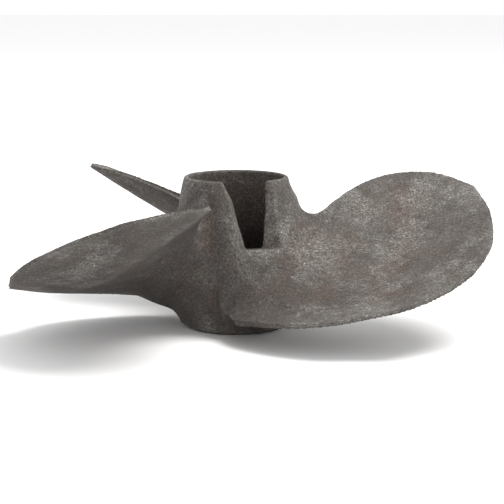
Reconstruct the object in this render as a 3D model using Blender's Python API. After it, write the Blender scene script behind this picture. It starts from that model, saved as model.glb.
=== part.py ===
"""Ship propeller: three blades and a hub with a notched collar, cast in one piece of grey iron.

The frame has its origin on the shaft's axis, at the height of the casting's centre of mass. Heights
below are counted from the ring that the hub stands on, and the whole moves down at the end. +Z runs
up the shaft's axis, +X is on the side of the blade that reaches furthest to the right when the notch
faces the viewer, and -Y is toward the viewer. Azimuths are degrees from +X, counter-clockwise seen
from above. All lengths are metres.
"""
import math

import bmesh
import bpy
import numpy as np
from mathutils import Matrix

# Height of the centre of mass above the ring that the hub stands on
MASS_CENTRE_HEIGHT = 0.0463

# Hub: the ring it stands on, the collar's rim, and the drafts of the two halves of its mould
HUB_HEIGHT = 0.1062
RING_RADIUS = 0.0350
RING_LIP = 0.0011
RIM_RADIUS = 0.0362
RIM_WALL = 0.0032
RIM_LIP = 0.0011
COLLAR_SPREAD = 0.0085
COLLAR_CURVE = 0.0295
LOWER_DRAFT = 0.100
HUB_ROWS = 24
HUB_COLUMNS = 28
COLUMN_CROWDING = 1.15
FIRST_COLUMN = 0.05
SEAM_SHARE = 0.004

# Root of the blade on the +X side: the line that it grows from, on the hub and inside it
ROOT_RADIUS = 0.0430
ROOT_CORE_RADIUS = 0.0330
ROOT_LEADING_AZIMUTH = -96.0
ROOT_LEADING_HEIGHT = 0.0180
ROOT_TRAILING_AZIMUTH = 1.0
ROOT_TRAILING_HEIGHT = 0.0810

# Ridge on the hub where the front of one blade's root meets the hollow under the blade before it
RIDGE_AZIMUTH = -103.5
RIDGE_FOOT = 0.0180
RIDGE_HEAD = 0.0740
RIDGE_LEAN = -16.0

# Hollow of the collar, and the shaft bore below it
CAVITY_FLOOR = 0.0350
BORE_RADIUS = 0.0143
BORE_SEGMENTS = 40
CUT_PAST = 0.010

# Notch in the collar: its floor, and how far each side leans
NOTCH_FLOOR = 0.0602
NOTCH_SHOULDER = 0.0925
NOTCH_RIGHT_AZIMUTH = -22.6
NOTCH_LEFT_AZIMUTH = -109.0
NOTCH_RIGHT_FOOT = (0.0175, -0.0279)
NOTCH_RIGHT_HEAD = (0.0196, -0.0264)
NOTCH_LEFT_FOOT = (0.0068, -0.0328)
NOTCH_LEFT_SHOULDER = (-0.0018, -0.0330)
NOTCH_LEFT_HEAD = (-0.0090, -0.0330)
NOTCH_INWARD = 0.0056
NOTCH_OUTWARD = 0.0240

# Blades: how many, their camber, and their half thickness at the root, the middle and the edge
BLADE_COUNT = 3
CAMBER = 0.0220
CAMBER_START = 0.10
CAMBER_FALL = 0.75
ROOT_HALF_THICKNESS = 0.0052
MIDDLE_HALF_THICKNESS = 0.0034
EDGE_HALF_THICKNESS = 0.0015

# Fillets between the hub and the root above and below: the lower one is small at its leading end
UPPER_FILLET = 0.0165
LOWER_FILLET = 0.0450
LEADING_FILLET = 0.0120
FLARE_FULL = 0.14
FLARE_TAPER = 0.14
FLARE_FLOOR = 0.0020
FILLET_SHARE = 0.293

# Softening of the seams between the hub and the roots: how far out and up, and how strong
SOFT_END = 0.062
SOFT_TOP = 0.094
SOFT_FADE = 0.008
SOFT_FACTOR = 0.5
SOFT_PASSES = 8

# Steps of a blade's mesh along the span, along the chord and round the edge
SPAN_STEPS = 20
SPAN_CROWDING = 1.25
CHORD_STEPS = 18
EDGE_STEPS = 4

# Edges of the blade on the +X side, from the hub to the tip: radius, azimuth, height
TRAILING_EDGE = (
    (0.0535, 0.5, 0.0775),
    (0.0670, 8.0, 0.0840),
    (0.0830, 16.5, 0.0915),
    (0.1060, 21.0, 0.0985),
    (0.1300, 23.0, 0.1010),
    (0.1505, 17.0, 0.1015),
    (0.1695, 6.5, 0.0950),
)
TIP_EDGE = (
    (0.1695, 6.5, 0.0950),
    (0.1755, -4.5, 0.0910),
    (0.1785, -14.0, 0.0795),
    (0.1770, -20.5, 0.0660),
    (0.1735, -26.5, 0.0505),
)
LEADING_EDGE = (
    (0.0535, -94.5, 0.0140),
    (0.0765, -84.0, 0.0170),
    (0.1040, -71.0, 0.0200),
    (0.1280, -60.5, 0.0245),
    (0.1440, -50.0, 0.0300),
    (0.1575, -46.0, 0.0345),
    (0.1655, -33.5, 0.0415),
    (0.1735, -26.5, 0.0505),
)

IRON_COLOUR = (0.125, 0.112, 0.100, 1.0)
IRON_ROUGHNESS = 0.85
IRON_METALLIC = 0.25
SMOOTH_ANGLE = 35.0


def clear_scene():
    """Take every object out of the scene."""
    for thing in list(bpy.data.objects):
        bpy.data.objects.remove(thing, do_unlink=True)


def iron_material():
    """Dull grey-brown cast iron."""
    material = bpy.data.materials.new("cast_iron")
    material.use_nodes = True
    shader = material.node_tree.nodes["Principled BSDF"]
    shader.inputs["Base Color"].default_value = IRON_COLOUR
    shader.inputs["Roughness"].default_value = IRON_ROUGHNESS
    shader.inputs["Metallic"].default_value = IRON_METALLIC
    material.diffuse_color = IRON_COLOUR
    return material


def polar(radius, azimuth, height):
    """Point at a radius, an azimuth in degrees and a height."""
    angle = math.radians(azimuth)
    return np.array((radius * math.cos(angle), radius * math.sin(angle), height))


def smooth_curve(stations, fractions):
    """Points at the given fractions of a smooth curve through polar stations."""
    knots = [polar(*station) for station in stations]
    lengths = [float(np.linalg.norm(b - a)) for a, b in zip(knots, knots[1:])]
    marks = np.concatenate(([0.0], np.cumsum(lengths)))
    slopes = [(knots[1] - knots[0]) / lengths[0]]
    for i in range(1, len(knots) - 1):
        slopes.append((knots[i + 1] - knots[i - 1]) / (marks[i + 1] - marks[i - 1]))
    slopes.append((knots[-1] - knots[-2]) / lengths[-1])
    points = []
    for fraction in fractions:
        along = fraction * marks[-1]
        i = min(int(np.searchsorted(marks, along, side="right")) - 1, len(lengths) - 1)
        t = (along - marks[i]) / lengths[i]
        points.append(
            (2 * t**3 - 3 * t**2 + 1) * knots[i]
            + (t**3 - 2 * t**2 + t) * lengths[i] * slopes[i]
            + (3 * t**2 - 2 * t**3) * knots[i + 1]
            + (t**3 - t**2) * lengths[i] * slopes[i + 1]
        )
    return np.array(points)


def root_end(azimuth, height):
    """Stations of a blade's edge inside the hub and on its outside."""
    return (ROOT_CORE_RADIUS, azimuth, height), (ROOT_RADIUS, azimuth, height)


def lower_fillet(chord_part):
    """Radius of the fillet under the root, which grows quickly from the leading end."""
    part = min(chord_part / FLARE_FULL, 1.0)
    return LEADING_FILLET + (LOWER_FILLET - LEADING_FILLET) * part * part * (3 - 2 * part)


def camber_share(span_part):
    """Part of the camber that is there at a place along the span: none at the hub, less at the tip."""
    return math.sin(math.pi * min(span_part + CAMBER_START, 1.0) * CAMBER_FALL) ** 2


def blade_surface():
    """Grid of points on the blade's middle surface, from the hub to the tip and leading to trailing."""
    span = np.linspace(0.0, 1.0, SPAN_STEPS + 1) ** SPAN_CROWDING
    chord = np.linspace(0.0, 1.0, CHORD_STEPS + 1)
    leading = smooth_curve(root_end(ROOT_LEADING_AZIMUTH, ROOT_LEADING_HEIGHT) + LEADING_EDGE, span)
    trailing = smooth_curve(root_end(ROOT_TRAILING_AZIMUTH, ROOT_TRAILING_HEIGHT) + TRAILING_EDGE, span)
    tip = smooth_curve(TIP_EDGE[::-1], chord)
    turn = ROOT_TRAILING_AZIMUTH - ROOT_LEADING_AZIMUTH
    climb = ROOT_TRAILING_HEIGHT - ROOT_LEADING_HEIGHT
    along = zip(ROOT_LEADING_AZIMUTH + turn * chord, ROOT_LEADING_HEIGHT + climb * chord)
    root = np.array([polar(ROOT_CORE_RADIUS, azimuth, height) for azimuth, height in along])
    grid = np.zeros((SPAN_STEPS + 1, CHORD_STEPS + 1, 3))
    for i, s in enumerate(span):
        for j, c in enumerate(chord):
            sides = (1 - c) * leading[i] + c * trailing[i]
            ends = (1 - s) * root[j] + s * tip[j]
            corners = ((1 - s) * ((1 - c) * root[0] + c * root[-1])
                       + s * ((1 - c) * tip[0] + c * tip[-1]))
            grid[i, j] = sides + ends - corners
            grid[i, j, 2] -= CAMBER * math.sin(math.pi * c) * camber_share(s)
    return grid


def unit(vectors):
    """Vectors scaled to length one."""
    return vectors / np.linalg.norm(vectors, axis=-1, keepdims=True)


def fillet_rise(away, radius):
    """How far a fillet of the given radius stands out, at a distance from the face it runs up to."""
    if away >= radius:
        return 0.0
    away = max(away, radius * FILLET_SHARE)
    return radius - math.sqrt(radius**2 - (radius - away) ** 2)


def ridge_azimuth(height):
    """Azimuth of the ridge on the hub at the leading end of the blade on the +X side."""
    part = min(max((height - RIDGE_FOOT) / (RIDGE_HEAD - RIDGE_FOOT), 0.0), 1.0)
    return RIDGE_AZIMUTH + RIDGE_LEAN * part


def root_offset(azimuth, height):
    """Distance on the hub from the root's middle line, how much of it is upward, and the place along."""
    scale = math.radians(1.0) * ROOT_RADIUS
    run = (ROOT_TRAILING_AZIMUTH - ROOT_LEADING_AZIMUTH) * scale
    rise = ROOT_TRAILING_HEIGHT - ROOT_LEADING_HEIGHT
    across = (azimuth - ROOT_LEADING_AZIMUTH) * scale
    up = height - ROOT_LEADING_HEIGHT
    part = min(max((across * run + up * rise) / (run**2 + rise**2), 0.0), 1.0)
    away = math.hypot(across - part * run, up - part * rise)
    upward = (up - part * rise) * run - (across - part * run) * rise
    return away, upward, part


def hub_radius(azimuth, height):
    """Radius of the hub's outside in the sector of the blade on the +X side."""
    away, upward, part = root_offset(azimuth, height)
    if upward > 0.0:
        plain = RIM_RADIUS + COLLAR_SPREAD * (1 - math.exp((height - HUB_HEIGHT) / COLLAR_CURVE))
        return plain + fillet_rise(away - ROOT_HALF_THICKNESS, UPPER_FILLET)
    plain = RING_RADIUS + LOWER_DRAFT * height
    return plain + fillet_rise(away - ROOT_HALF_THICKNESS, lower_fillet(part))


def hub_grid():
    """Rows of points up the hub's outside, each a full turn, with the columns along the ridges."""
    sector = 360.0 / BLADE_COUNT
    heights = np.linspace(FLARE_FLOOR, HUB_HEIGHT - RIM_LIP, HUB_ROWS + 1)
    spread = np.linspace(FIRST_COLUMN, 1.0, HUB_COLUMNS - 1) ** COLUMN_CROWDING
    parts = np.concatenate(([SEAM_SHARE], spread[:-1], [1 - SEAM_SHARE]))
    rows = [[polar(RING_RADIUS - RING_LIP, a, 0.0) for a in columns_at(0.0, parts, sector)]]
    rows.append([polar(RING_RADIUS, a, RING_LIP) for a in columns_at(RING_LIP, parts, sector)])
    for height in heights:
        row = []
        for number, azimuth in enumerate(columns_at(height, parts, sector)):
            turn = sector * (number // len(parts))
            row.append(polar(hub_radius(azimuth - turn, height), azimuth, height))
        rows.append(row)
    rows.append([polar(RIM_RADIUS - RIM_LIP, a, HUB_HEIGHT) for a in columns_at(HUB_HEIGHT, parts, sector)])
    return np.array(rows)


def columns_at(height, parts, sector):
    """Azimuths of the grid's columns at a height, a sector after another."""
    start = ridge_azimuth(height)
    return [start + sector * (number + part) for number in range(BLADE_COUNT) for part in parts]


def half_thickness(chord_part, span_part):
    """Half the blade's thickness, without the fillets, at a place along the chord and the span."""
    inward = math.sin(math.pi * chord_part) * (1 - span_part**4)
    crown = MIDDLE_HALF_THICKNESS + (ROOT_HALF_THICKNESS - MIDDLE_HALF_THICKNESS) * (1 - span_part)
    edge = EDGE_HALF_THICKNESS + (ROOT_HALF_THICKNESS - EDGE_HALF_THICKNESS) * (1 - span_part) ** 4
    return edge + (crown - edge) * inward


def fillets(grid, radii):
    """Extra half thickness from the root's fillet, given its radius at each place along the chord."""
    away = np.hypot(grid[..., 0], grid[..., 1]) - ROOT_RADIUS
    rises = [[fillet_rise(distance, radius) for distance, radius in zip(row, radii)] for row in away]
    chord = np.linspace(0.0, 1.0, len(radii))
    share = np.clip(np.minimum(chord, 1 - chord) / FLARE_TAPER, 0.0, 1.0)
    return np.array(rises) * share * share * (3 - 2 * share)


def blade_shell():
    """The blade's upper face, lower face and rounded edge, each a grid of points."""
    grid = blade_surface()
    rows, columns = grid.shape[:2]
    normals = unit(np.cross(unit(np.gradient(grid, axis=0)), unit(np.gradient(grid, axis=1))))
    plain = np.array([[half_thickness(j / CHORD_STEPS, i / SPAN_STEPS) for j in range(columns)]
                      for i in range(rows)])
    above = plain + fillets(grid, [UPPER_FILLET] * columns)
    below = plain + fillets(grid, [lower_fillet(j / CHORD_STEPS) for j in range(columns)])
    rim = [(i, 0) for i in range(rows)] + [(rows - 1, j) for j in range(1, columns)]
    rim += [(i, columns - 1) for i in range(rows - 2, -1, -1)]
    heading = unit(np.gradient(np.array([grid[place] for place in rim]), axis=0))
    outward = [unit(np.cross(normals[place], way)) for place, way in zip(rim, heading)]
    middle = grid.copy()
    for place, way in zip(rim, outward):
        middle[place] = grid[place] - way * EDGE_HALF_THICKNESS
    upper = middle + normals * above[..., None]
    lower = middle - normals * below[..., None]
    edge = []
    for place, way in zip(rim, outward):
        strip = [upper[place]]
        for step in range(1, EDGE_STEPS):
            turn = math.pi / 2 - math.pi * step / EDGE_STEPS
            side = above[place] if turn > 0 else below[place]
            outside = plain[place] * math.cos(turn)
            strip.append(middle[place] + way * outside + normals[place] * side * math.sin(turn))
        strip.append(lower[place])
        edge.append(strip)
    return upper, lower, np.array(edge)


def quads(mesh, verts):
    """Faces between neighbouring rows and columns of vertices."""
    for near, far in zip(verts, verts[1:]):
        for j in range(len(near) - 1):
            mesh.faces.new((near[j], far[j], far[j + 1], near[j + 1]))


def blade_mesh():
    """Closed mesh of the blade on the +X side, with rounded edges and a flared root."""
    upper, lower, edge = blade_shell()
    mesh = bmesh.new()
    above = [[mesh.verts.new(point) for point in row] for row in upper]
    below = [[mesh.verts.new(point) for point in row] for row in lower]
    rim = [(i, 0) for i in range(SPAN_STEPS + 1)] + [(SPAN_STEPS, j) for j in range(1, CHORD_STEPS + 1)]
    rim += [(i, CHORD_STEPS) for i in range(SPAN_STEPS - 1, -1, -1)]
    strips = []
    for (i, j), points in zip(rim, edge):
        strips.append([above[i][j]] + [mesh.verts.new(point) for point in points[1:-1]] + [below[i][j]])
    quads(mesh, above)
    quads(mesh, below)
    quads(mesh, strips)
    mesh.faces.new(strips[0] + below[0][1:-1] + strips[-1][::-1] + above[0][1:-1][::-1])
    bmesh.ops.recalc_face_normals(mesh, faces=mesh.faces)
    trimmed = bmesh.ops.bisect_plane(
        mesh, geom=mesh.verts[:] + mesh.edges[:] + mesh.faces[:],
        plane_co=(0, 0, FLARE_FLOOR), plane_no=(0, 0, -1), clear_outer=True)
    rim = [item for item in trimmed["geom_cut"] if isinstance(item, bmesh.types.BMEdge)]
    if rim:
        bmesh.ops.contextual_create(mesh, geom=rim)
    bmesh.ops.triangulate(mesh, faces=mesh.faces)
    bmesh.ops.recalc_face_normals(mesh, faces=mesh.faces)
    return mesh


def object_from(mesh, name):
    """New object of the scene that holds a bmesh."""
    data = bpy.data.meshes.new(name)
    mesh.to_mesh(data)
    mesh.free()
    thing = bpy.data.objects.new(name, data)
    bpy.context.scene.collection.objects.link(thing)
    return thing


def turned(profile, name, segments):
    """Closed solid turned round the Z axis from (radius, height) points, first and last on the axis."""
    mesh = bmesh.new()
    verts = [mesh.verts.new((radius, 0.0, height)) for radius, height in profile]
    edges = [mesh.edges.new(pair) for pair in zip(verts, verts[1:])]
    bmesh.ops.spin(mesh, geom=verts + edges, cent=(0, 0, 0), axis=(0, 0, 1),
                   angle=math.tau, steps=segments, use_merge=True)
    bmesh.ops.remove_doubles(mesh, verts=mesh.verts, dist=1e-6)
    bmesh.ops.recalc_face_normals(mesh, faces=mesh.faces)
    return object_from(mesh, name)


def hub():
    """Hub from the ring it stands on to the collar's rim, still solid."""
    mesh = bmesh.new()
    rings = [[mesh.verts.new(point) for point in row] for row in hub_grid()]
    quads(mesh, [ring + ring[:1] for ring in rings])
    mesh.faces.new(rings[0])
    mesh.faces.new(rings[-1])
    bmesh.ops.triangulate(mesh, faces=mesh.faces)
    bmesh.ops.recalc_face_normals(mesh, faces=mesh.faces)
    return object_from(mesh, "propeller_casting")


def hollow():
    """Cutter for the collar's hollow and the shaft bore under it."""
    inside = RIM_RADIUS - RIM_WALL
    top = HUB_HEIGHT + CUT_PAST
    bevel = RIM_WALL / 3
    profile = [(0.0, -CUT_PAST), (BORE_RADIUS, -CUT_PAST), (BORE_RADIUS, CAVITY_FLOOR),
               (inside, CAVITY_FLOOR), (inside, HUB_HEIGHT - bevel), (inside + bevel, HUB_HEIGHT),
               (inside + bevel, top), (0.0, top)]
    return turned(profile, "hollow_cutter", BORE_SEGMENTS)


def notch():
    """Cutter for the notch: four levels whose sides spread outward and lean apart toward the rim."""
    right = polar(1.0, NOTCH_RIGHT_AZIMUTH, 0.0)[:2]
    left = polar(1.0, NOTCH_LEFT_AZIMUTH, 0.0)[:2]
    top = HUB_HEIGHT + CUT_PAST
    levels = ((NOTCH_FLOOR, NOTCH_LEFT_FOOT, NOTCH_RIGHT_FOOT),
              (NOTCH_SHOULDER, NOTCH_LEFT_SHOULDER, NOTCH_RIGHT_HEAD),
              (HUB_HEIGHT, NOTCH_LEFT_HEAD, NOTCH_RIGHT_HEAD),
              (top, NOTCH_LEFT_HEAD, NOTCH_RIGHT_HEAD))
    mesh = bmesh.new()
    rings = []
    for height, left_side, right_side in levels:
        corners = (np.array(left_side) - left * NOTCH_INWARD, np.array(left_side) + left * NOTCH_OUTWARD,
                   np.array(right_side) + right * NOTCH_OUTWARD, np.array(right_side) - right * NOTCH_INWARD)
        rings.append([mesh.verts.new((x, y, height)) for x, y in corners])
    for low, high in zip(rings, rings[1:]):
        for side in range(4):
            after = (side + 1) % 4
            mesh.faces.new((low[side], low[after], high[after], high[side]))
    mesh.faces.new(rings[0][::-1])
    mesh.faces.new(rings[-1])
    bmesh.ops.recalc_face_normals(mesh, faces=mesh.faces)
    return object_from(mesh, "notch_cutter")


def combine(target, tool, operation):
    """Join a tool to the target, or cut it out, and remove the tool."""
    step = target.modifiers.new(operation.lower(), "BOOLEAN")
    step.operation = operation
    step.solver = "EXACT"
    step.use_self = operation == "UNION"
    step.object = tool
    bpy.context.view_layer.objects.active = target
    bpy.ops.object.modifier_apply(modifier=step.name)
    bpy.data.objects.remove(tool, do_unlink=True)


def soften(target):
    """Round the seams between the hub and the blades' roots."""
    group = target.vertex_groups.new(name="roots")
    for vert in target.data.vertices:
        outward = (SOFT_END - math.hypot(vert.co.x, vert.co.y)) / SOFT_FADE
        upward = min(vert.co.z - FLARE_FLOOR, SOFT_TOP - vert.co.z) / SOFT_FADE
        group.add([vert.index], min(max(min(outward, upward), 0.0), 1.0), "REPLACE")
    step = target.modifiers.new("soft", "SMOOTH")
    step.factor = SOFT_FACTOR
    step.iterations = SOFT_PASSES
    step.vertex_group = group.name
    bpy.ops.object.modifier_apply(modifier=step.name)


def main():
    """Build the casting."""
    clear_scene()
    casting = hub()
    for number in range(BLADE_COUNT):
        blade = object_from(blade_mesh(), f"blade_{number}")
        blade.rotation_euler = (0.0, 0.0, math.tau * number / BLADE_COUNT)
        combine(casting, blade, "UNION")
    soften(casting)
    combine(casting, hollow(), "DIFFERENCE")
    combine(casting, notch(), "DIFFERENCE")
    casting.data.transform(Matrix.Translation((0.0, 0.0, -MASS_CENTRE_HEIGHT)))
    casting.data.materials.clear()
    casting.data.materials.append(iron_material())
    casting.data.shade_smooth()
    casting.data.set_sharp_from_angle(angle=math.radians(SMOOTH_ANGLE))


main()
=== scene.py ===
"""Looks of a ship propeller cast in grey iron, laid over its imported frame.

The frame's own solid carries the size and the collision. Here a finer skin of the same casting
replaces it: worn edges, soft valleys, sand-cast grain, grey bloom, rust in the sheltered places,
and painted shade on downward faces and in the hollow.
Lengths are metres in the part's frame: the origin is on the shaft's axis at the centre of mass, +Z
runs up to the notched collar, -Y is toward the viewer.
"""

import logging
import math
from dataclasses import dataclass
from enum import Enum

import bpy
import numpy as np
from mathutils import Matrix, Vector


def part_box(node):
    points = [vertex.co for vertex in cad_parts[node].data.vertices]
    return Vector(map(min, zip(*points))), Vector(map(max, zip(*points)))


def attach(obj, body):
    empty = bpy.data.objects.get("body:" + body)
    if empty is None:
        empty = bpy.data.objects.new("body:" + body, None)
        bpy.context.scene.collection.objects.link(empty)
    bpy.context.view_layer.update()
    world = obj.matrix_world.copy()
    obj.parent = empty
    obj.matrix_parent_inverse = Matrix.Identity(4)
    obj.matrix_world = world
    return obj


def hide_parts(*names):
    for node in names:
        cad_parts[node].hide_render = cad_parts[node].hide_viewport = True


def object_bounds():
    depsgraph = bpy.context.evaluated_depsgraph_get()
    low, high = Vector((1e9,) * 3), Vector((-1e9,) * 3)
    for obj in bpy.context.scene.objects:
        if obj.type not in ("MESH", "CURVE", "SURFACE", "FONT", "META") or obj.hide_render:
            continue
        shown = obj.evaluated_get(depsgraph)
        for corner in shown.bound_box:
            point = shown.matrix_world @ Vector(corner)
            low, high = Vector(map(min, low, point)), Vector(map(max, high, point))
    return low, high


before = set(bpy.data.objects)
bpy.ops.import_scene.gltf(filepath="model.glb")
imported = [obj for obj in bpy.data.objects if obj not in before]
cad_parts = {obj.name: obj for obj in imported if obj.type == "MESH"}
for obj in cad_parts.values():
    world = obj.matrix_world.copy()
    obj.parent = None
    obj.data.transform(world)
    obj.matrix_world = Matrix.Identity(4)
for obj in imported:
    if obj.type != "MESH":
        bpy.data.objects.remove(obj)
CAD_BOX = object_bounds()

LOG = logging.getLogger("propeller")
NODE_NAME = "propeller_casting"
PIECE_NAME = "cast_propeller"
MERGE_DISTANCE = 0.00001
FLOOR_GAP = 0.0002


class Mask(Enum):
    """Masks that the skin carries on its points: worn edges and sheltered valleys for wear and rust, and
    two that place painted shade.
    """

    WORN = "worn_edge"
    SHELTERED = "sheltered_valley"
    # Painted shade on downward faces near the hub.
    UNDERSIDE = "underside"
    # Painted shade toward the bottom of the hollow and on the notch's sides.
    DEPTH = "depth_in_hollow"


class Side(Enum):
    """Material slots of the skin."""

    OUTSIDE = 0
    HOLLOW = 1


def deselect() -> None:
    """Leave nothing selected, because operators act on all that is."""
    for thing in bpy.context.selected_objects:
        thing.select_set(False)


def activate(thing: bpy.types.Object) -> None:
    """Make one object the only selected and the active one.

    Args:
        thing: the object.
    """
    deselect()
    thing.select_set(True)
    bpy.context.view_layer.objects.active = thing


@dataclass
class Graph:
    """Shorthand for adding and joining the nodes of one tree.

    Attributes:
        tree: the node tree of a material or of a node group.
    """

    tree: bpy.types.NodeTree

    def add(self, kind: str, inputs: dict | None = None, **settings: object) -> bpy.types.Node:
        """Add a node.

        Args:
            kind: the node's type, without the word ShaderNode before it.
            inputs: values for its sockets, or other nodes' outputs to link to them.
            **settings: properties of the node.

        Returns:
            The new node.
        """
        node = self.tree.nodes.new("ShaderNode" + kind)
        for name, value in settings.items():
            setattr(node, name, value)
        self.feed(node, inputs or {})
        return node

    def place(self, group: bpy.types.NodeTree, inputs: dict) -> bpy.types.Node:
        """Place a node group.

        Args:
            group: the node group.
            inputs: values for its sockets, or other nodes' outputs to link to them.

        Returns:
            The node that holds the group.
        """
        node = self.tree.nodes.new("ShaderNodeGroup")
        node.node_tree = group
        self.feed(node, inputs)
        return node

    def feed(self, node: bpy.types.Node, inputs: dict) -> None:
        """Link a node's sockets to other nodes' outputs, or set them to values.

        Args:
            node: the node.
            inputs: the outputs or values, by the sockets' names or numbers.
        """
        for socket, value in inputs.items():
            if isinstance(value, bpy.types.NodeSocket):
                self.tree.links.new(value, node.inputs[socket])
            else:
                node.inputs[socket].default_value = value

    def math(self, operation: str, *terms: object) -> bpy.types.NodeSocket:
        """Do one piece of arithmetic.

        Args:
            operation: the name of the Math node's operation.
            *terms: sockets or values, as many as the operation takes.

        Returns:
            The socket with the result.
        """
        return self.add("Math", dict(enumerate(terms)), operation=operation).outputs[0]

    def span(self, value: object, ends: tuple[float, float]) -> bpy.types.NodeSocket:
        """Take a smooth step of a value.

        Args:
            value: the socket with the value.
            ends: the values where the step begins, at 0, and ends, at 1.

        Returns:
            The socket with the step.
        """
        node = self.add("MapRange", {"Value": value, "From Min": ends[0], "From Max": ends[1]},
                        interpolation_type="SMOOTHSTEP")
        return node.outputs[0]

    def stretch(self, value: object, ends: tuple[float, float],
                onto: tuple[float, float]) -> bpy.types.NodeSocket:
        """Stretch a value from one range onto another, held at the ends.

        Args:
            value: the socket with the value.
            ends: the range that it comes from.
            onto: the range that it goes to.

        Returns:
            The socket with the result.
        """
        node = self.add("MapRange", {"Value": value, "From Min": ends[0], "From Max": ends[1],
                                     "To Min": onto[0], "To Max": onto[1]})
        return node.outputs[0]

    def noise(self, where: object, scale: float, detail: float, rough: float = 0.5,
              distortion: float = 0.0) -> bpy.types.NodeSocket:
        """Value of a cloud-like pattern.

        Args:
            where: the coordinates that it is read at.
            scale: repeats in a metre.
            detail: how many finer layers it has.
            rough: strength of each finer layer against the one before it.
            distortion: how much it is drawn into threads.

        Returns:
            The socket with the value.
        """
        node = self.add("TexNoise", {"Vector": where, "Scale": scale, "Detail": detail,
                                     "Roughness": rough, "Distortion": distortion})
        return node.outputs["Fac"]

    def blend(self, share: object, below: object, above: object) -> bpy.types.NodeSocket:
        """Mix two colours.

        Args:
            share: how much of the second colour shows, as a socket or a value.
            below: the first colour.
            above: the second colour.

        Returns:
            The socket with the mixed colour.
        """
        node = self.add("Mix", {0: share}, data_type="RGBA", blend_type="MIX")
        self.feed(node, {6: below, 7: above})
        return node.outputs[2]


def new_group(name: str, inputs: dict[str, tuple[str, object]], outputs: dict[str, str]) -> Graph:
    """Start a shader node group.

    Args:
        name: the group's name.
        inputs: socket types and first values by name.
        outputs: socket types by name.

    Returns:
        A graph whose tree holds only the group's own input and output nodes.
    """
    tree = bpy.data.node_groups.new(name, "ShaderNodeTree")
    for socket, (kind, value) in inputs.items():
        made = tree.interface.new_socket(socket, in_out="INPUT", socket_type="NodeSocket" + kind)
        if value is not None:
            made.default_value = value
    for socket, kind in outputs.items():
        tree.interface.new_socket(socket, in_out="OUTPUT", socket_type="NodeSocket" + kind)
    tree.nodes.new("NodeGroupInput")
    tree.nodes.new("NodeGroupOutput")
    return Graph(tree)


@dataclass(frozen=True)
class SandGrain:
    """Grain that the sand mould leaves: fine grit, pits, and a slow unevenness under them.

    Attributes:
        grit_scale: repeats of the grit in a metre.
        pit_scale: repeats of the pits in a metre.
        swell_scale: repeats of the slow unevenness in a metre.
        swell_height: height of the slow unevenness against the grit's.
        pit_depth: depth of the pits against the grit's height.
        pit_edge: where a pit's floor ends and its wall ends, as parts of the pits' spacing.
        pit_patches: values of a slow pattern between which pits begin to show.
        speckle_edge: values of a fine pattern between which speckle begins to show.
        noise_ends: range of a fine pattern that the shade takes.
        shade_ends: factors on the colour from the finest grain.
        fibre_ends: range of the thread-like pattern that the streaks take.
        streak_ends: factors on the colour from the threads.
        speckle_fineness: how much finer the speckle is than the grit.
        shade_fineness: how much finer the finest grain is than the grit.
        fibre_width: how much wider the threads are than the grit.
        patch_width: how much wider the pits' patches are than the pits' spacing.
        thread: how far the threads are drawn out.
    """

    grit_scale: float = 620.0
    pit_scale: float = 300.0
    swell_scale: float = 55.0
    swell_height: float = 1.6
    pit_depth: float = 0.9
    pit_edge: tuple[float, float] = (0.10, 0.42)
    pit_patches: tuple[float, float] = (0.50, 0.66)
    speckle_edge: tuple[float, float] = (0.50, 0.62)
    noise_ends: tuple[float, float] = (0.32, 0.68)
    shade_ends: tuple[float, float] = (0.50, 1.46)
    fibre_ends: tuple[float, float] = (0.35, 0.65)
    streak_ends: tuple[float, float] = (0.76, 1.24)
    speckle_fineness: float = 1.2
    shade_fineness: float = 1.3
    fibre_width: float = 3.0
    patch_width: float = 3.0
    thread: float = 2.5

    def group(self) -> bpy.types.NodeTree:
        """Build the node group.

        Returns:
            A group that gives the grain's height, its pits, its speckle and a factor on the colour.
        """
        graph = new_group("sand_grain", {"Vector": ("Vector", None), "Coarseness": ("Float", 1.0)},
                          {"Height": "Float", "Pits": "Float", "Speckle": "Float", "Shade": "Float"})
        start, end = graph.tree.nodes["Group Input"], graph.tree.nodes["Group Output"]
        where = start.outputs["Vector"]
        grit = graph.noise(where, self.grit_scale, detail=4.0, rough=0.65)
        swell = graph.noise(where, self.swell_scale, detail=3.0)
        cells = graph.add("TexVoronoi", {"Vector": where, "Scale": self.pit_scale, "Randomness": 1.0})
        spots = graph.noise(where, self.pit_scale / self.patch_width, detail=2.0)
        holes = graph.math("SUBTRACT", 1.0, graph.span(cells.outputs["Distance"], self.pit_edge))
        pits = graph.math("MULTIPLY", holes, graph.span(spots, self.pit_patches))
        rise = graph.math("MULTIPLY", grit, start.outputs["Coarseness"])
        rise = graph.math("ADD", rise, graph.math("MULTIPLY", swell, self.swell_height))
        height = graph.math("SUBTRACT", rise, graph.math("MULTIPLY", pits, self.pit_depth))
        fine = graph.noise(where, self.grit_scale * self.speckle_fineness, detail=3.0, rough=0.8)
        speckle = graph.span(fine, self.speckle_edge)
        finest = graph.noise(where, self.grit_scale * self.shade_fineness, detail=2.0, rough=0.7)
        shade = graph.stretch(finest, self.noise_ends, self.shade_ends)
        fibres = graph.noise(where, self.grit_scale / self.fibre_width, detail=5.0, rough=0.8,
                             distortion=self.thread)
        streak = graph.stretch(fibres, self.fibre_ends, self.streak_ends)
        tone = graph.math("MULTIPLY", shade, streak)
        for name, value in (("Height", height), ("Pits", pits), ("Speckle", speckle), ("Shade", tone)):
            graph.tree.links.new(value, end.inputs[name])
        return graph.tree


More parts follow.
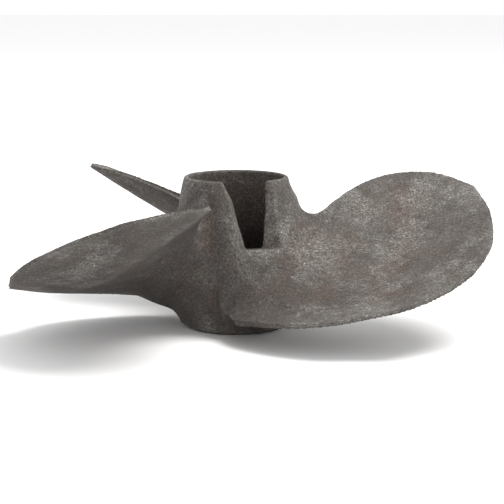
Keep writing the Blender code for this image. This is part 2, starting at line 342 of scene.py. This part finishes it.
@dataclass(frozen=True)
class Bloom:
    """Pale grey bloom that lies in patches of speckle on the weathered iron.

    Attributes:
        patch_scale: repeats of the patches in a metre.
        ragged: how much finer noise breaks up the patches' edges.
        worn_share: how much a worn edge adds to a patch.
        patch_edge: values between which a patch begins to show.
        grain_share: bloom on the speckle in a patch.
        veil: bloom between the speckle in a patch.
        fineness: how much finer the noise on the edges is than the patches.
    """

    patch_scale: float = 26.0
    ragged: float = 0.35
    worn_share: float = 0.05
    patch_edge: tuple[float, float] = (0.62, 0.86)
    grain_share: float = 0.90
    veil: float = 0.16
    fineness: float = 7.0

    def group(self) -> bpy.types.NodeTree:
        """Build the node group.

        Returns:
            A group that turns a speckle and a worn-edge mask into the share of bloom.
        """
        graph = new_group("pale_bloom", {"Vector": ("Vector", None), "Speckle": ("Float", 0.0),
                                         "Worn": ("Float", 0.0), "Amount": ("Float", 1.0)},
                          {"Bloom": "Float"})
        start, end = graph.tree.nodes["Group Input"], graph.tree.nodes["Group Output"]
        where = start.outputs["Vector"]
        patches = graph.noise(where, self.patch_scale, detail=5.0, rough=0.62)
        torn = graph.noise(where, self.patch_scale * self.fineness, detail=3.0, rough=0.6)
        mixed = graph.math("ADD", patches, graph.math("MULTIPLY", torn, self.ragged))
        mixed = graph.math("ADD", mixed, graph.math("MULTIPLY", start.outputs["Worn"], self.worn_share))
        patch = graph.span(mixed, self.patch_edge)
        grains = graph.math("MULTIPLY", start.outputs["Speckle"], self.grain_share)
        share = graph.math("MULTIPLY", patch, graph.math("ADD", grains, self.veil))
        share = graph.math("MULTIPLY", share, start.outputs["Amount"])
        graph.tree.links.new(share, end.inputs["Bloom"])
        return graph.tree


@dataclass(frozen=True)
class RustTint:
    """Red-brown tint where damp stays: valleys, the hollow, and loose patches.

    Attributes:
        patch_scale: repeats of the loose patches in a metre.
        valley_share: how much a sheltered valley adds to a patch.
        fine_share: how much finer noise adds to a patch.
        patch_edge: values between which a patch begins to show.
        fineness: how much finer the finer noise is than the patches.
    """

    patch_scale: float = 38.0
    valley_share: float = 0.22
    fine_share: float = 0.20
    patch_edge: tuple[float, float] = (0.54, 0.92)
    fineness: float = 9.0

    def group(self) -> bpy.types.NodeTree:
        """Build the node group.

        Returns:
            A group that turns a sheltered-valley mask into the share of rust.
        """
        graph = new_group("rust_tint", {"Vector": ("Vector", None), "Sheltered": ("Float", 0.0),
                                        "Amount": ("Float", 1.0)}, {"Rust": "Float"})
        start, end = graph.tree.nodes["Group Input"], graph.tree.nodes["Group Output"]
        where = start.outputs["Vector"]
        patches = graph.noise(where, self.patch_scale, detail=4.0, rough=0.6)
        fine = graph.noise(where, self.patch_scale * self.fineness, detail=2.0)
        valleys = graph.math("MULTIPLY", start.outputs["Sheltered"], self.valley_share)
        mixed = graph.math("ADD", patches, valleys)
        mixed = graph.math("ADD", mixed, graph.math("MULTIPLY", fine, self.fine_share))
        share = graph.math("MULTIPLY", graph.span(mixed, self.patch_edge), start.outputs["Amount"])
        graph.tree.links.new(share, end.inputs["Rust"])
        return graph.tree


@dataclass(frozen=True)
class WeatheredIron:
    """Finish of weathered grey cast iron, with painted shade on downward faces and toward the bottom of
    the hollow.

    Attributes:
        name: the material's name.
        dark: colour of the damp-looking iron, also laid on downward faces as painted shade.
        light: colour of the dry iron.
        bloom: colour of the pale bloom.
        rust: colour of the rust tint.
        hollow_shade_colour: colour of the painted shade at the bottom of the hollow.
        bloom_amount: how much bloom lies on it.
        rust_amount: how much rust shows.
        coarseness: strength of the grit.
        roughness: roughness of the darkest iron.
        bloom_lack_and_shade_below: share of the bloom that downward faces lack, which also paints them
            darker as shade.
        mottle_scale: repeats of the broad light and dark patches in a metre.
        mottle_ends: range of their pattern that goes from dark to light.
        freckle_scale: repeats of the dark freckles in a metre.
        freckle_ends: range of their pattern over which they appear.
        freckle_share: strength of the freckles.
        shade_below_share: how far downward faces go to dark, as painted shade.
        worn_share: how far a worn edge goes to light.
        pit_share: how far a pit goes to dark.
        hollow_shade_share: how far the bottom of the hollow goes to its painted shade's colour.
        rough_spread: how much rougher the light iron is, and the bloom.
        specular: strength of the sheen.
        bump_strength: strength of the grain's relief.
        bump_depth: height of the grain's relief.
    """

    name: str
    dark: tuple[float, float, float, float]
    light: tuple[float, float, float, float]
    bloom: tuple[float, float, float, float]
    rust: tuple[float, float, float, float]
    hollow_shade_colour: tuple[float, float, float, float]
    bloom_amount: float
    rust_amount: float
    coarseness: float
    roughness: float
    bloom_lack_and_shade_below: float = 0.75
    mottle_scale: float = 21.0
    mottle_ends: tuple[float, float] = (0.33, 0.67)
    freckle_scale: float = 240.0
    freckle_ends: tuple[float, float] = (0.40, 0.62)
    freckle_share: float = 0.22
    shade_below_share: float = 0.50
    worn_share: float = 0.60
    pit_share: float = 0.55
    hollow_shade_share: float = 0.92
    rough_spread: float = 0.10
    specular: float = 0.35
    bump_strength: float = 0.75
    bump_depth: float = 0.0007

    def material(self, grain: bpy.types.NodeTree, bloom: bpy.types.NodeTree,
                 rust: bpy.types.NodeTree) -> bpy.types.Material:
        """Build the material.

        Args:
            grain: the sand grain's node group.
            bloom: the pale bloom's node group.
            rust: the rust tint's node group.

        Returns:
            The new material.
        """
        made = bpy.data.materials.new(self.name)
        made.use_nodes = True
        graph = Graph(made.node_tree)
        shader = made.node_tree.nodes["Principled BSDF"]
        where = graph.add("TexCoord").outputs["Object"]
        masks = {mask: graph.add("Attribute", attribute_name=mask.value).outputs["Fac"] for mask in Mask}
        sand = graph.place(grain, {"Vector": where, "Coarseness": self.coarseness}).outputs
        # Downward faces lose most of the pale bloom: they look smoother, and the loss also paints them
        # darker as shade.
        bare = graph.math("MULTIPLY", masks[Mask.UNDERSIDE], self.bloom_lack_and_shade_below)
        share = graph.math("MULTIPLY", graph.math("SUBTRACT", 1.0, bare), self.bloom_amount)
        pale = graph.place(bloom, {"Vector": where, "Speckle": sand["Speckle"],
                                   "Worn": masks[Mask.WORN], "Amount": share}).outputs["Bloom"]
        red = graph.place(rust, {"Vector": where, "Sheltered": masks[Mask.SHELTERED],
                                 "Amount": self.rust_amount}).outputs["Rust"]
        broad = graph.noise(where, self.mottle_scale, detail=6.0, rough=0.7)
        small = graph.noise(where, self.freckle_scale, detail=3.0, rough=0.7)
        mottle, freckle = graph.span(broad, self.mottle_ends), graph.span(small, self.freckle_ends)
        colour = graph.blend(mottle, self.dark, self.light)
        for cover, tint in (
                (graph.math("MULTIPLY", freckle, self.freckle_share), self.dark),
                (red, self.rust),
                # Painted shade: downward faces near the hub go toward the dark colour.
                (graph.math("MULTIPLY", masks[Mask.UNDERSIDE], self.shade_below_share), self.dark),
                (graph.math("MULTIPLY", masks[Mask.WORN], self.worn_share), self.light),
                (graph.math("MULTIPLY", sand["Pits"], self.pit_share), self.dark),
                (pale, self.bloom),
                # Painted shade: the bottom of the hollow and the notch's sides go toward a near-black
                # colour.
                (graph.math("MULTIPLY", masks[Mask.DEPTH], self.hollow_shade_share), self.hollow_shade_colour)):
            colour = graph.blend(cover, colour, tint)
        toned = graph.add("HueSaturation", {"Color": colour, "Value": sand["Shade"]})
        rough = graph.math("MULTIPLY_ADD", mottle, self.rough_spread, self.roughness)
        rough = graph.math("ADD", rough, graph.math("MULTIPLY", pale, self.rough_spread))
        bump = graph.add("Bump", {"Strength": self.bump_strength, "Distance": self.bump_depth,
                                  "Height": sand["Height"]})
        graph.feed(shader, {"Base Color": toned.outputs["Color"], "Roughness": rough, "Metallic": 0.0,
                            "Specular IOR Level": self.specular, "Normal": bump.outputs["Normal"]})
        return made


OUTER_IRON = WeatheredIron(
    name="weathered_cast_iron",
    dark=(0.054, 0.046, 0.041, 1.0), light=(0.099, 0.090, 0.082, 1.0),
    bloom=(0.29, 0.285, 0.27, 1.0), rust=(0.078, 0.050, 0.040, 1.0), hollow_shade_colour=(0.018, 0.012, 0.010, 1.0),
    bloom_amount=0.80, rust_amount=0.60, coarseness=1.0, roughness=0.80)
# Darker copy of the iron for the hollow's faces: its lower colours and thinner bloom are painted shade,
# its stronger rust and coarser grit are its own.
SHADED_HOLLOW_IRON = WeatheredIron(
    name="rusty_hollow_iron_painted_shade",
    dark=(0.022, 0.018, 0.016, 1.0), light=(0.052, 0.044, 0.040, 1.0),
    bloom=(0.18, 0.17, 0.16, 1.0), rust=(0.062, 0.032, 0.025, 1.0), hollow_shade_colour=(0.006, 0.004, 0.004, 1.0),
    bloom_amount=0.40, rust_amount=0.80, coarseness=1.3, roughness=0.86)


@dataclass(frozen=True)
class Nick:
    """A chip out of a blade's edge.

    Attributes:
        radius: distance of its middle from the shaft's axis.
        azimuth: its direction in degrees from +X.
        height: its height in the frame.
        size: its width.
        stretch: how far the lump that cuts it is drawn out along each axis.
        unevenness: how far the lump's points are moved, as a part of its width.
    """

    radius: float
    azimuth: float
    height: float
    size: float
    stretch: tuple[float, float, float] = (0.8, 1.2, 1.5)
    unevenness: float = 0.125

    def place(self) -> Vector:
        """Middle of the chip."""
        angle = math.radians(self.azimuth)
        return Vector((self.radius * math.cos(angle), self.radius * math.sin(angle), self.height))


@dataclass(frozen=True)
class SkinMasks:
    """Masks worked out from the skin's own form. Each is 0 where it begins and 1 a width further on.

    Attributes:
        hollow_radius: radius of the collar's hollow.
        passes: how often each point's place is averaged with its neighbours'.
        worn_from: how proud of its surroundings a point is where wear begins.
        worn_over: width over which wear grows to its full strength.
        sheltered_over: depth below its surroundings at which a point is fully sheltered.
        under_from: downward part of the normal where the painted shade on downward faces begins.
        under_over: width over which that painted shade grows.
        hub_reach: radius where that painted shade ends.
        hub_fade: width over which it ends.
        depth_from: depth below the rim where the painted shade in the hollow begins.
        depth_over: depth over which that painted shade grows.
        depth_reach: how far past the hollow's radius the painted shade goes.
        depth_fade: width over which it ends there.
        depth_base: height above the foot under which no shade is painted.
        turned_away: how fast the painted shade fades where a face turns away from the axis.
        least_radius: radius that stands in for smaller ones where a direction is divided by it.
    """

    hollow_radius: float
    passes: int = 60
    worn_from: float = 0.0002
    worn_over: float = 0.0012
    sheltered_over: float = 0.0009
    under_from: float = 0.05
    under_over: float = 0.5
    hub_reach: float = 0.115
    hub_fade: float = 0.060
    depth_from: float = 0.006
    depth_over: float = 0.040
    depth_reach: float = 0.009
    depth_fade: float = 0.008
    depth_base: float = 0.030
    turned_away: float = 2.0
    least_radius: float = 0.001

    def store(self, skin: bpy.types.Object, low: Vector, high: Vector) -> None:
        """Store the masks on the skin's points.

        Args:
            skin: the finished skin.
            low: lowest corner of the casting.
            high: highest corner of the casting.
        """
        data = skin.data
        count = len(data.vertices)
        places, normals = np.empty(count * 3), np.empty(count * 3)
        data.vertices.foreach_get("co", places)
        data.vertices.foreach_get("normal", normals)
        places, normals = places.reshape(-1, 3), normals.reshape(-1, 3)
        proud = ((places - self.averaged(data, places)) * normals).sum(axis=1)
        down = -normals[:, 2]
        radii = np.hypot(places[:, 0], places[:, 1])
        near_hub = self.ramp(self.hub_reach - radii, self.hub_fade)
        values = {
            Mask.WORN: self.ramp(proud - self.worn_from, self.worn_over),
            Mask.SHELTERED: self.ramp(-proud, self.sheltered_over),
            # Painted shade on downward faces near the hub.
            Mask.UNDERSIDE: self.ramp(down - self.under_from, self.under_over) * near_hub,
            # Painted shade toward the bottom of the hollow and on the notch's sides.
            Mask.DEPTH: self.depth(places, normals, radii, low, high),
        }
        for name, value in values.items():
            layer = data.attributes.new(name.value, "FLOAT", "POINT")
            layer.data.foreach_set("value", value.astype(np.float32))

    @staticmethod
    def ramp(value: np.ndarray, width: float) -> np.ndarray:
        """Values from 0 at nought to 1 at a width."""
        return np.clip(value / width, 0.0, 1.0)

    def averaged(self, data: bpy.types.Mesh, places: np.ndarray) -> np.ndarray:
        """Move each point to the middle of its neighbours, many times over.

        Args:
            data: the skin's mesh.
            places: the points' places.

        Returns:
            Their new places. The mesh stays as it is.
        """
        count = len(places)
        edges = np.empty(len(data.edges) * 2, dtype=np.int64)
        data.edges.foreach_get("vertices", edges)
        edges = edges.reshape(-1, 2)
        ends, others = np.concatenate((edges, edges[:, ::-1])).T
        near = np.maximum(np.bincount(ends, minlength=count), 1)
        mean = places.copy()
        for _ in range(self.passes):
            mean = np.stack([np.bincount(ends, mean[others, axis], count) / near for axis in range(3)], 1)
        return mean

    def depth(self, places: np.ndarray, normals: np.ndarray, radii: np.ndarray,
              low: Vector, high: Vector) -> np.ndarray:
        """Mask of the painted shade toward the bottom of the hollow and on the notch's sides.

        Args:
            places: the points' places.
            normals: the points' normals.
            radii: the points' distances from the axis.
            low: lowest corner of the casting.
            high: highest corner of the casting.

        Returns:
            A value for each point.
        """
        outward = (places[:, :2] * normals[:, :2]).sum(axis=1)
        outward /= np.maximum(radii, self.least_radius)
        below = self.ramp(high.z - places[:, 2] - self.depth_from, self.depth_over)
        inside = self.ramp(self.hollow_radius + self.depth_reach - radii, self.depth_fade)
        facing = np.clip(1.0 - outward * self.turned_away, 0.0, 1.0)
        return below * inside * (facing * (places[:, 2] > low.z + self.depth_base))


@dataclass
class CastingSkin:
    """The whole casting as it shows: hub, notched collar and three blades in one skin.

    Attributes:
        step: spacing of the skin's points.
        even_passes: smoothing that takes the facets out everywhere.
        even_factor: strength of each of those passes.
        root_passes: smoothing that rounds the valleys at the blades' roots.
        root_factor: strength of each of those passes.
        root_radius: radius to which those valleys reach.
        root_fade: width over which their smoothing fades out.
        hollow_clear: how far from the hollow their smoothing stays, and the width over which it fades.
        foot_clear: how far above the foot it stays.
        rim_clear: how far below the collar's rim it stays.
        height_fade: height over which it fades toward the foot and the rim.
        unevenness: depth of the slow waves that the mould left.
        wave_length: length of those waves.
        most_triangles: limit of the skin's triangles.
        hollow_radius: radius of the collar's hollow.
        shaded_hollow_overlap: how far past that radius the hollow's darker iron, painted as shade, goes.
        shaded_hollow_base: height above the foot under which the hollow's darker iron stays off.
        shaded_hollow_turn: how far a face turns toward the axis before it counts as the hollow's wall.
        facet_angle: greatest angle in degrees between two facets that the guide joins.
        guide_levels: how often the guide's faces are divided.
        wave_layers: how many finer layers the slow waves have.
        nicks: chips in the blades' edges.
    """

    step: float = 0.0008
    even_passes: int = 3
    even_factor: float = 0.3
    root_passes: int = 8
    root_factor: float = 0.5
    root_radius: float = 0.066
    root_fade: float = 0.014
    hollow_clear: float = 0.004
    foot_clear: float = 0.003
    rim_clear: float = 0.012
    height_fade: float = 0.010
    unevenness: float = 0.0005
    wave_length: float = 0.014
    most_triangles: int = 190000
    hollow_radius: float = 0.0336
    shaded_hollow_overlap: float = 0.0008
    shaded_hollow_base: float = 0.002
    shaded_hollow_turn: float = 0.5
    facet_angle: float = 25.0
    guide_levels: int = 2
    wave_layers: int = 3
    nicks: tuple[Nick, ...] = (
        Nick(0.1785, -19.5, 0.0215, 0.0030),
        Nick(0.1745, -27.5, 0.0040, 0.0040),
        Nick(0.1700, -31.5, 0.0000, 0.0025),
    )

    def build(self, node: bpy.types.Object) -> bpy.types.Object:
        """Make the skin.

        Args:
            node: the frame's solid of the casting, which stays as it is.

        Returns:
            The new object, with its place in its mesh.
        """
        low, high = (Vector(corner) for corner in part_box(NODE_NAME))
        skin = self.copied(node)
        for nick in self.nicks:
            self.chip(skin, nick)
        guide = self.guide(skin)
        self.remesh(skin)
        self.follow(skin, guide)
        self.smooth(skin, low, high)
        self.roughen(skin)
        self.thin(skin)
        SkinMasks(self.hollow_radius).store(skin, low, high)
        self.settle(skin, low)
        return skin

    @staticmethod
    def copied(node: bpy.types.Object) -> bpy.types.Object:
        """Copy the frame's solid and merge the points that its facets share.

        Args:
            node: the frame's solid.

        Returns:
            The copy, as an object of its own.
        """
        data = node.data.copy()
        data.name = PIECE_NAME
        skin = bpy.data.objects.new(PIECE_NAME, data)
        bpy.context.scene.collection.objects.link(skin)
        activate(skin)
        bpy.ops.object.mode_set(mode="EDIT")
        bpy.ops.mesh.select_all(action="SELECT")
        bpy.ops.mesh.remove_doubles(threshold=MERGE_DISTANCE)
        bpy.ops.object.mode_set(mode="OBJECT")
        return skin

    @staticmethod
    def apply(skin: bpy.types.Object, kind: str, **settings: object) -> None:
        """Add a modifier with its settings and apply it.

        Args:
            skin: the object that it works on.
            kind: the modifier's type.
            **settings: properties of the modifier.
        """
        step = skin.modifiers.new(kind.lower(), kind)
        for name, value in settings.items():
            setattr(step, name, value)
        bpy.context.view_layer.objects.active = skin
        bpy.ops.object.modifier_apply(modifier=step.name)

    def chip(self, skin: bpy.types.Object, nick: Nick) -> None:
        """Cut one chip out of a blade's edge with a lump drawn out of round.

        Args:
            skin: the copy of the casting.
            nick: the chip's place and size.
        """
        deselect()
        bpy.ops.mesh.primitive_ico_sphere_add(subdivisions=2, radius=nick.size / 2, location=nick.place())
        lump = bpy.context.active_object
        bpy.ops.object.mode_set(mode="EDIT")
        bpy.ops.mesh.select_all(action="SELECT")
        bpy.ops.transform.resize(value=nick.stretch)
        bpy.ops.transform.vertex_random(offset=nick.size * nick.unevenness, seed=int(nick.size * 10000))
        bpy.ops.object.mode_set(mode="OBJECT")
        self.apply(skin, "BOOLEAN", object=lump, operation="DIFFERENCE", solver="EXACT")
        bpy.data.objects.remove(lump, do_unlink=True)

    def guide(self, skin: bpy.types.Object) -> bpy.types.Object:
        """Make a copy of the casting with its facets rounded, for the skin's blades to lie on.

        Args:
            skin: the merged and chipped copy of the casting.

        Returns:
            The rounded copy.
        """
        guide = bpy.data.objects.new("guide", skin.data.copy())
        bpy.context.scene.collection.objects.link(guide)
        activate(guide)
        bpy.ops.object.mode_set(mode="EDIT")
        bpy.ops.mesh.select_all(action="SELECT")
        bpy.ops.mesh.tris_convert_to_quads(face_threshold=math.radians(self.facet_angle),
                                         shape_threshold=math.pi)
        bpy.ops.object.mode_set(mode="OBJECT")
        self.apply(guide, "SUBSURF", levels=self.guide_levels, render_levels=self.guide_levels)
        return guide

    def follow(self, skin: bpy.types.Object, guide: bpy.types.Object) -> None:
        """Lay the blades on the rounded copy, fading toward the hub, and drop the copy.

        Args:
            skin: the remeshed casting.
            guide: the rounded copy.
        """
        group = skin.vertex_groups.new(name="blades")
        for vert in skin.data.vertices:
            radius = math.hypot(vert.co.x, vert.co.y)
            weight = min((radius - self.root_radius + self.root_fade) / self.root_fade, 1.0)
            if weight > 0.0:
                group.add([vert.index], weight, "REPLACE")
        self.apply(skin, "SHRINKWRAP", target=guide, wrap_method="NEAREST_SURFACEPOINT",
                   vertex_group="blades")
        skin.vertex_groups.clear()
        bpy.data.objects.remove(guide, do_unlink=True)

    def remesh(self, skin: bpy.types.Object) -> None:
        """Give the whole casting one even skin."""
        self.apply(skin, "REMESH", mode="VOXEL", voxel_size=self.step)

    def smooth(self, skin: bpy.types.Object, low: Vector, high: Vector) -> None:
        """Take out the facets, and round the valleys between the hub and the blades.

        Args:
            skin: the remeshed casting.
            low: lowest corner of the casting.
            high: highest corner of the casting.
        """
        group = skin.vertex_groups.new(name="roots")
        for vert in skin.data.vertices:
            radius = math.hypot(vert.co.x, vert.co.y)
            inward = (self.root_radius - radius) / self.root_fade
            outward = (radius - self.hollow_radius - self.hollow_clear) / self.hollow_clear
            over_foot = vert.co.z - low.z - self.foot_clear
            under_rim = high.z - self.rim_clear - vert.co.z
            weight = min(inward, outward, min(over_foot, under_rim) / self.height_fade, 1.0)
            if weight > 0.0:
                group.add([vert.index], weight, "REPLACE")
        self.apply(skin, "SMOOTH", factor=self.root_factor, iterations=self.root_passes,
                   vertex_group="roots")
        self.apply(skin, "SMOOTH", factor=self.even_factor, iterations=self.even_passes)
        skin.vertex_groups.clear()

    def roughen(self, skin: bpy.types.Object) -> None:
        """Press slow, shallow waves into the skin, as a sand mould leaves them.

        Args:
            skin: the smoothed casting.
        """
        waves = bpy.data.textures.new("mould_waves", "CLOUDS")
        waves.noise_scale = self.wave_length
        waves.noise_depth = self.wave_layers
        self.apply(skin, "DISPLACE", texture=waves, texture_coords="LOCAL", mid_level=1.0,
                   strength=self.unevenness)

    def thin(self, skin: bpy.types.Object) -> None:
        """Bring the skin down to its limit of triangles.

        Args:
            skin: the finished casting.
        """
        count = sum(len(face.vertices) - 2 for face in skin.data.polygons)
        if count > self.most_triangles:
            self.apply(skin, "DECIMATE", ratio=self.most_triangles / count)

    def settle(self, skin: bpy.types.Object, low: Vector) -> None:
        """Give the skin's faces their material slots, inside the hollow and outside it.

        Args:
            skin: the finished casting.
            low: its lowest corner.
        """
        for face in skin.data.polygons:
            radius = math.hypot(face.center.x, face.center.y)
            turn = face.normal.x * face.center.x + face.normal.y * face.center.y
            inward = turn < -self.shaded_hollow_turn * radius
            floor = radius < self.hollow_radius and face.center.z > low.z + self.shaded_hollow_base
            inside = radius < self.hollow_radius + self.shaded_hollow_overlap and (inward or floor)
            # Faces in the hollow take the darker copy of the iron, which paints shade there.
            face.material_index = (Side.HOLLOW if inside else Side.OUTSIDE).value
        activate(skin)
        bpy.ops.object.shade_smooth()


@dataclass(frozen=True)
class Lamp:
    """Large soft light that faces the part.

    Attributes:
        name: the light's name.
        place: where it hangs.
        size: its width.
        power: its power in watts.
        colour: its colour.
    """

    name: str
    place: tuple[float, float, float]
    size: float
    power: float
    colour: tuple[float, float, float]

    def hang(self) -> None:
        """Hang the light."""
        lamp = bpy.data.lights.new(self.name, "AREA")
        lamp.shape = "DISK"
        lamp.size = self.size
        lamp.energy = self.power
        lamp.color = self.colour
        hung = bpy.data.objects.new(self.name, lamp)
        hung.location = self.place
        hung.rotation_euler = (-Vector(self.place)).to_track_quat("-Z", "Y").to_euler()
        bpy.context.scene.collection.objects.link(hung)


@dataclass
class Studio:
    """Pale floor, soft lights and an even pale surround.

    Attributes:
        floor_size: length of the floor's sides.
        floor_colour: colour of the floor.
        surround: strength of the even light from all round.
        lamps: the soft lights.
        floor_roughness: roughness of the floor.
        floor_sheen: strength of the floor's sheen.
    """

    floor_size: float = 14.0
    floor_colour: tuple[float, float, float, float] = (0.93, 0.93, 0.93, 1.0)
    surround: float = 1.0
    lamps: tuple[Lamp, ...] = (
        Lamp("key", (0.9, 0.0, 2.0), 1.4, 50.0, (1.0, 0.985, 0.96)),
        Lamp("fill", (1.2, -1.6, 0.8), 1.6, 4.0, (0.97, 0.98, 1.0)),
    )
    floor_roughness: float = 0.9
    floor_sheen: float = 0.1

    def build(self, ground: float) -> None:
        """Lay the floor and hang the lights.

        Args:
            ground: the floor's height.
        """
        self.floor(ground)
        for lamp in self.lamps:
            lamp.hang()
        world = bpy.data.worlds.new("pale_surround")
        bpy.context.scene.world = world
        world.use_nodes = True
        backdrop = world.node_tree.nodes["Background"]
        backdrop.inputs["Color"].default_value = (1.0, 1.0, 1.0, 1.0)
        backdrop.inputs["Strength"].default_value = self.surround

    def floor(self, ground: float) -> None:
        """Lay the floor just under the part.

        Args:
            ground: its height.
        """
        deselect()
        bpy.ops.mesh.primitive_plane_add(size=self.floor_size, location=(0.0, 0.0, ground))
        floor = bpy.context.active_object
        floor.name = "studio_floor"
        paint = bpy.data.materials.new("pale_floor")
        paint.use_nodes = True
        shader = paint.node_tree.nodes["Principled BSDF"]
        shader.inputs["Base Color"].default_value = self.floor_colour
        shader.inputs["Roughness"].default_value = self.floor_roughness
        shader.inputs["Specular IOR Level"].default_value = self.floor_sheen
        floor.data.materials.append(paint)


@dataclass
class Viewpoint:
    """Camera at the photograph's viewing angle.

    Attributes:
        elevation: angle above the horizon, in radians.
        distance: distance from the point that it looks at.
        target: the point that it looks at.
        sensor: width of the sensor, in millimetres.
        lens: focal length, in millimetres.
    """

    elevation: float = 0.1698
    distance: float = 1.1862
    target: tuple[float, float, float] = (0.0111, 0.0, 0.0058)
    sensor: float = 36.0
    lens: float = 121.04

    def build(self) -> None:
        """Set the camera up and make it the scene's own."""
        data = bpy.data.cameras.new("photo_view")
        data.sensor_width = self.sensor
        data.lens = self.lens
        camera = bpy.data.objects.new("photo_view", data)
        away = Vector((0.0, -math.cos(self.elevation), math.sin(self.elevation)))
        camera.location = Vector(self.target) + away * self.distance
        camera.rotation_euler = (math.pi / 2 - self.elevation, 0.0, 0.0)
        bpy.context.scene.collection.objects.link(camera)
        bpy.context.scene.camera = camera


def main() -> None:
    """Build the looks round the loaded frame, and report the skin."""
    logging.basicConfig(level=logging.INFO, format="%(name)s: %(message)s")
    bpy.context.scene.view_settings.view_transform = "Standard"
    Viewpoint().build()
    Studio().build(ground=CAD_BOX[0][2] - FLOOR_GAP)
    grain, bloom, rust = SandGrain().group(), Bloom().group(), RustTint().group()
    skin = CastingSkin().build(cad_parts[NODE_NAME])
    skin.data.materials.clear()
    for finish in (OUTER_IRON, SHADED_HOLLOW_IRON):
        skin.data.materials.append(finish.material(grain, bloom, rust))
    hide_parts(NODE_NAME)
    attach(skin, "root")
    LOG.info("%s has %d faces", skin.name, len(skin.data.polygons))


if __name__ == "__main__":
    main()
